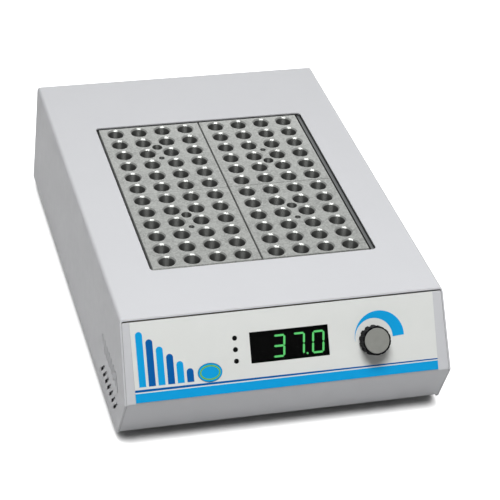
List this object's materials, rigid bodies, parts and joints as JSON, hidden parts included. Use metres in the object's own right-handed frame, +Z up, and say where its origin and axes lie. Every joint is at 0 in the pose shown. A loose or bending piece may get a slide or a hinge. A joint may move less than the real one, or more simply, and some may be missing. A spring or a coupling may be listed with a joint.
{
  "type": "dry block heater",
  "caption": "Bench-top dry block heater: removable aluminium tube blocks in a heated well behind a sloping panel with a display, a mode key and a knob.",
  "frame": {"origin": "on the bench under the middle of the whole heater's bounding box, at the feet's underside", "axes": "+Z up, +X to the operator's right, -Y towards the operator, so the control panel faces -Y and the mains inlet +Y"},
  "size_m": [0.2258, 0.3552, 0.089],
  "materials": {
    "case_paint": "satin light grey powder coat",
    "base_steel": "zinc-coated steel",
    "film": "printed film",
    "smoked_window": "dark smoked, polished",
    "black_plastic": "moulded",
    "lit_digits": "lit green",
    "lamp_lens": "unlit lens",
    "circuit_board": "solder mask",
    "plated_steel": "zinc plated",
    "key_blue": "printed key",
    "knob_black": "fluted",
    "knob_grey": "satin",
    "encoder_metal": "pressed can",
    "block_aluminium": "fine machined",
    "frame_aluminium": "mill finish",
    "insulation": "mineral fibre",
    "heater_silicone": "silicone mat",
    "transformer_core": "varnished",
    "capacitor_yellow": "moulded case",
    "terminal_green": "moulded",
    "brass_pins": "nickel plated",
    "fuse_glass": "glass tube",
    "rocker_plastic": "polished",
    "foot_rubber": "moulded rubber",
    "ribbon_grey": "ribbon insulation",
    "lead_brown": "lead insulation",
    "lead_red": "silicone lead",
    "lead_white": "lead insulation"
  },
  "bodies": {
    "case": {"top_cover": "case_paint", "base_pan": "base_steel", "rear_panel": "case_paint", "front_panel": "case_paint", "panel_film": "film", "display_window": "smoked_window", "display_module": "black_plastic", "display_digits": "lit_digits", "indicator_lamps": "lamp_lens", "control_board": "circuit_board", "panel_standoffs": "plated_steel", "board_screws": "plated_steel", "mode_switch": "black_plastic", "encoder_body": "encoder_metal", "encoder_nut": "plated_steel", "spacer_bar": "frame_aluminium", "well_frame": "frame_aluminium", "well_insulation": "insulation", "heater_plate": "frame_aluminium", "heater_mat": "heater_silicone", "insulation_board": "insulation", "support_plate": "base_steel", "clamp_screws": "plated_steel", "frame_screws": "plated_steel", "plate_standoffs": "plated_steel", "temperature_sensor": "plated_steel", "thermal_cutout": "black_plastic", "power_board": "circuit_board", "power_standoffs": "plated_steel", "transformer": "transformer_core", "heat_sink": "frame_aluminium", "triac": "black_plastic", "filter_capacitor": "capacitor_yellow", "terminal_block": "terminal_green", "inlet_housing": "black_plastic", "inlet_pins": "brass_pins", "inlet_screws": "plated_steel", "switch_housing": "black_plastic", "rubber_feet": "foot_rubber", "foot_screws": "plated_steel", "chassis_screws": "plated_steel", "cover_screws": "plated_steel", "ribbon_cable": "ribbon_grey", "mains_leads": "lead_brown", "heater_leads": "lead_red", "sensor_lead": "lead_white"},
    "knob": {"control_knob": "knob_black", "knob_cap": "knob_grey", "encoder_shaft": "plated_steel"},
    "mode_key": {"mode_button": "key_blue", "mode_plunger": "black_plastic"},
    "rocker": {"power_rocker": "rocker_plastic"},
    "fuse_tray": {"fuse_drawer": "black_plastic", "fuses": "fuse_glass"},
    "tube_block_back_left": {"block_back_left": "block_aluminium"},
    "tube_block_back_right": {"block_back_right": "block_aluminium"},
    "tube_block_front_left": {"block_front_left": "block_aluminium"},
    "tube_block_front_right": {"block_front_right": "block_aluminium"}
  },
  "joints": [
    {"name": "knob_turn", "type": "hinge", "parent": "case", "child": "knob", "pos_m": [0.059, -0.16426, 0.06295], "axis": [0, -0.8542, 0.52], "continuous": true},
    {"name": "mode_press", "type": "slide", "parent": "case", "child": "mode_key", "axis": [0, 0.8542, -0.52], "range_m": [0, 0.0008], "stiffness_N_per_m": 1500, "springref_m": -0.0005},
    {"name": "power_rock", "type": "hinge", "parent": "case", "child": "rocker", "pos_m": [0.01465, 0.17172, 0.04304], "axis": [-1, 0, 0], "range_deg": [0, 20]},
    {"name": "fuse_out", "type": "slide", "parent": "case", "child": "fuse_tray", "axis": [0, 0.9965, 0.083], "range_m": [0, 0.016]},
    {"name": "back_left_lift", "type": "slide", "parent": "case", "child": "tube_block_back_left", "axis": [0, 0, 1], "range_m": [0, 0.06]},
    {"name": "back_right_lift", "type": "slide", "parent": "case", "child": "tube_block_back_right", "axis": [0, 0, 1], "range_m": [0, 0.06]},
    {"name": "front_left_lift", "type": "slide", "parent": "case", "child": "tube_block_front_left", "axis": [0, 0, 1], "range_m": [0, 0.06]},
    {"name": "front_right_lift", "type": "slide", "parent": "case", "child": "tube_block_front_right", "axis": [0, 0, 1], "range_m": [0, 0.06]}
  ]
}
